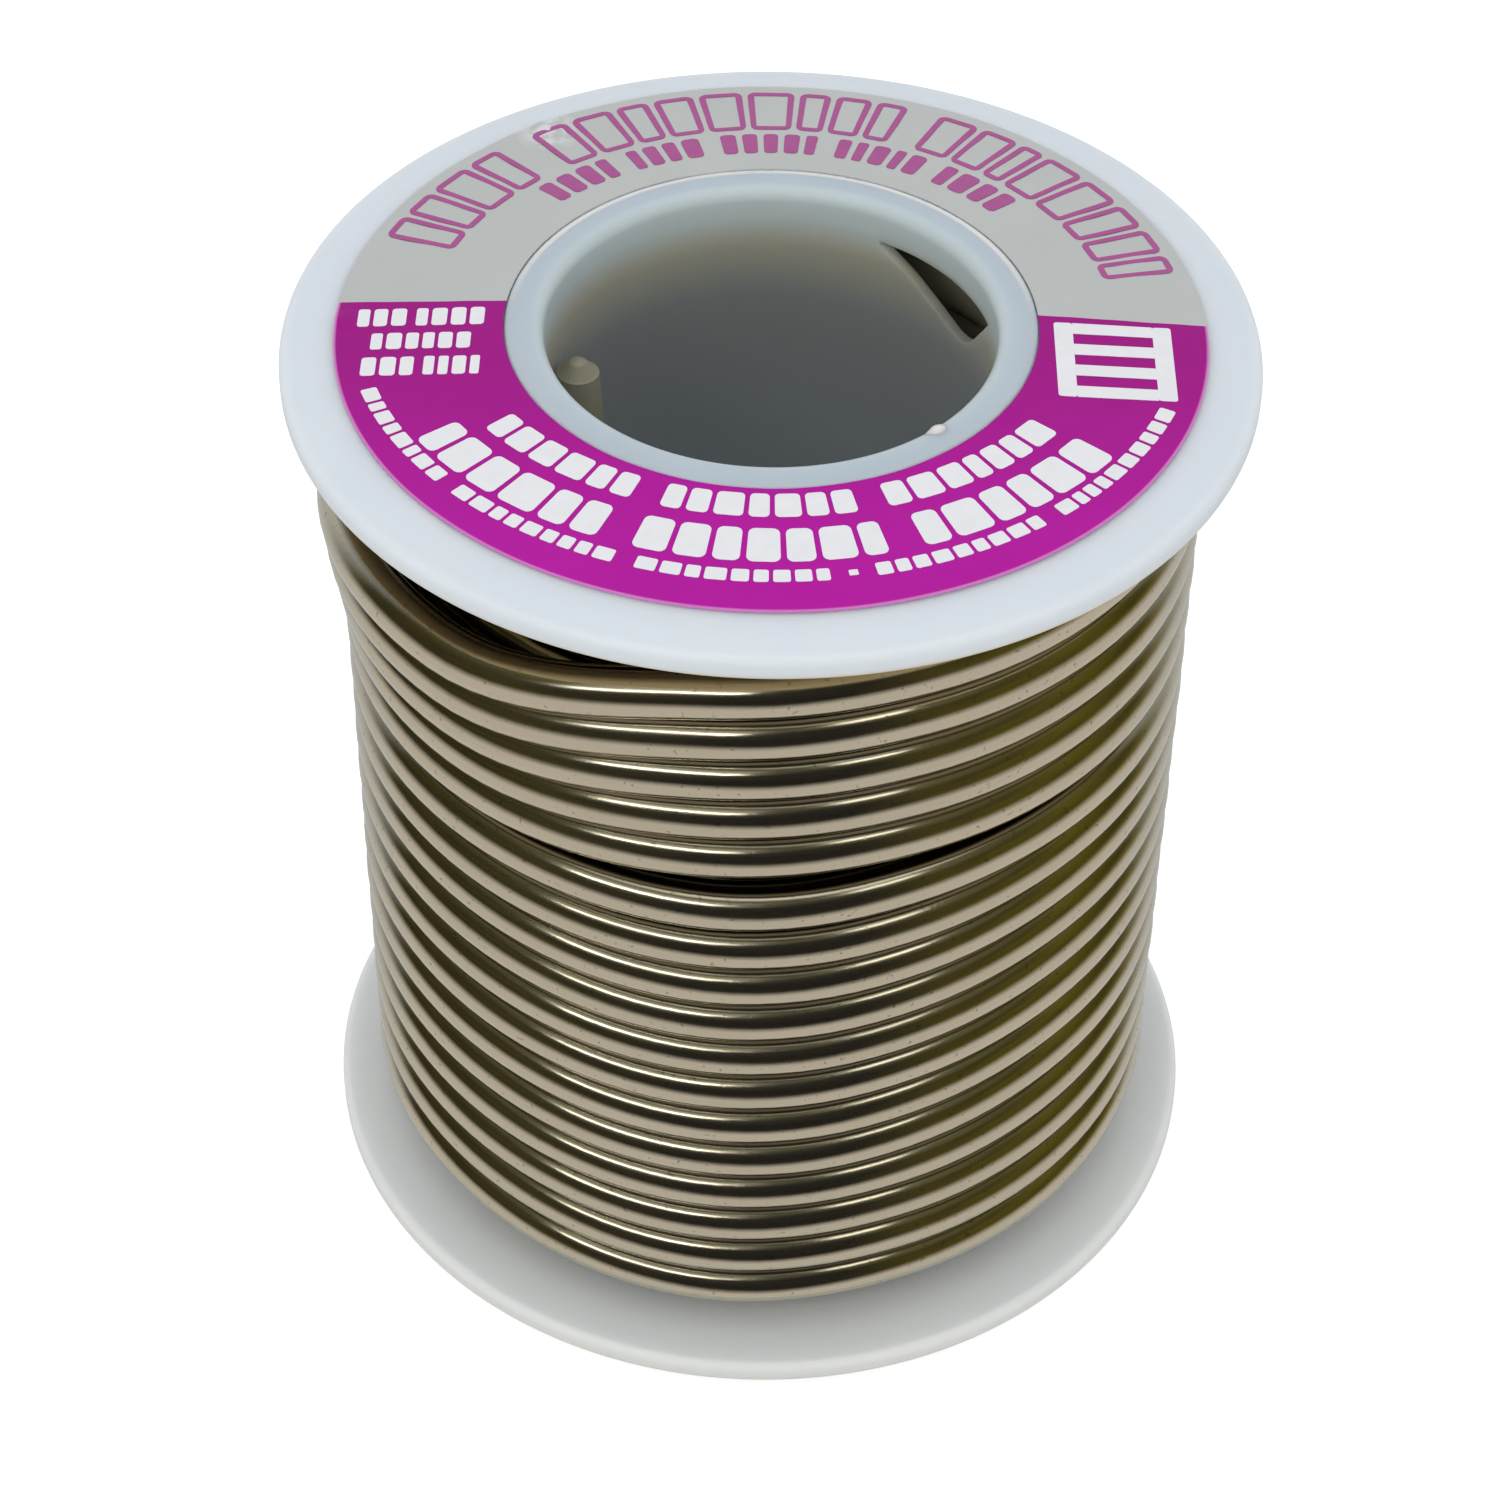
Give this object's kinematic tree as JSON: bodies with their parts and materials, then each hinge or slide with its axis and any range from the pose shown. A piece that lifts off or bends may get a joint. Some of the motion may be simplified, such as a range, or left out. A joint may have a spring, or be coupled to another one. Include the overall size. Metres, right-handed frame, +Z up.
{
  "type": "solder wire spool",
  "caption": "Upright spool of thick bright solder wire on a translucent white plastic flanged hub with an open bore and a foil ring label on its top flange.",
  "frame": {"origin": "on the spool's axis, in the plane that it stands on", "axes": "+Z up along the spool's axis, +X to the viewer's right and +Y to the back"},
  "size_m": [0.0604, 0.0604, 0.0671],
  "materials": {
    "spool_plastic": "translucent natural-white moulding, semi-gloss",
    "label_foil": "metallised foil, printed magenta over half of the ring and bare silver over the rest",
    "solder": "bright drawn tin-lead wire with a slight warm tarnish and fine drawing marks"
  },
  "bodies": {
    "root": {"bore_tube": "spool_plastic", "winding_barrel": "spool_plastic", "flange_bottom": "spool_plastic", "flange_top": "spool_plastic", "label_top": "label_foil", "solder_inner_layer": "solder", "solder_middle_layer": "solder", "solder_outer_layer": "solder", "solder_start_tail": "solder"}
  },
  "joints": []
}
